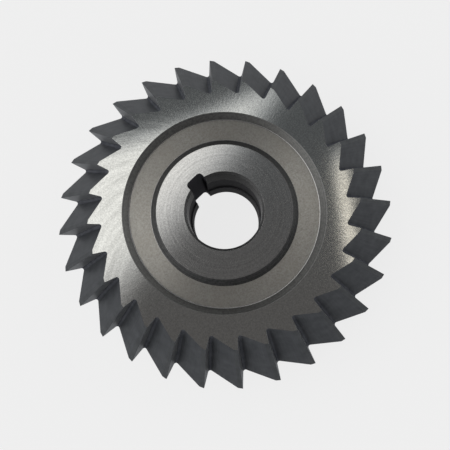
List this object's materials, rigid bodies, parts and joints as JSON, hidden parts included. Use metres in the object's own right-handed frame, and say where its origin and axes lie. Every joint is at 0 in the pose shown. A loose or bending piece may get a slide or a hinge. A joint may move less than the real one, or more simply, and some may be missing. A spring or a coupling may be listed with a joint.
{
  "type": "double angle milling cutter",
  "caption": "Disc-shaped steel milling cutter: the rim comes to a right-angled point cut into saw-like teeth, with a shallow recess round each hub and a keyed bore for an arbor.",
  "frame": {"origin": "centre of the bore, on the cutter's middle plane", "axes": "+Z along the bore, +Y through the keyway and the tooth tip in line with it; seen from +Z the cutting faces face counter-clockwise"},
  "size_m": [0.1524, 0.1524, 0.0382],
  "materials": {
    "tool_steel": "bare hardened steel: circular ground and turned lay on the faces, matte recesses, smooth dark milled gashes"
  },
  "bodies": {
    "root": {"milling_cutter": "tool_steel"}
  },
  "joints": []
}
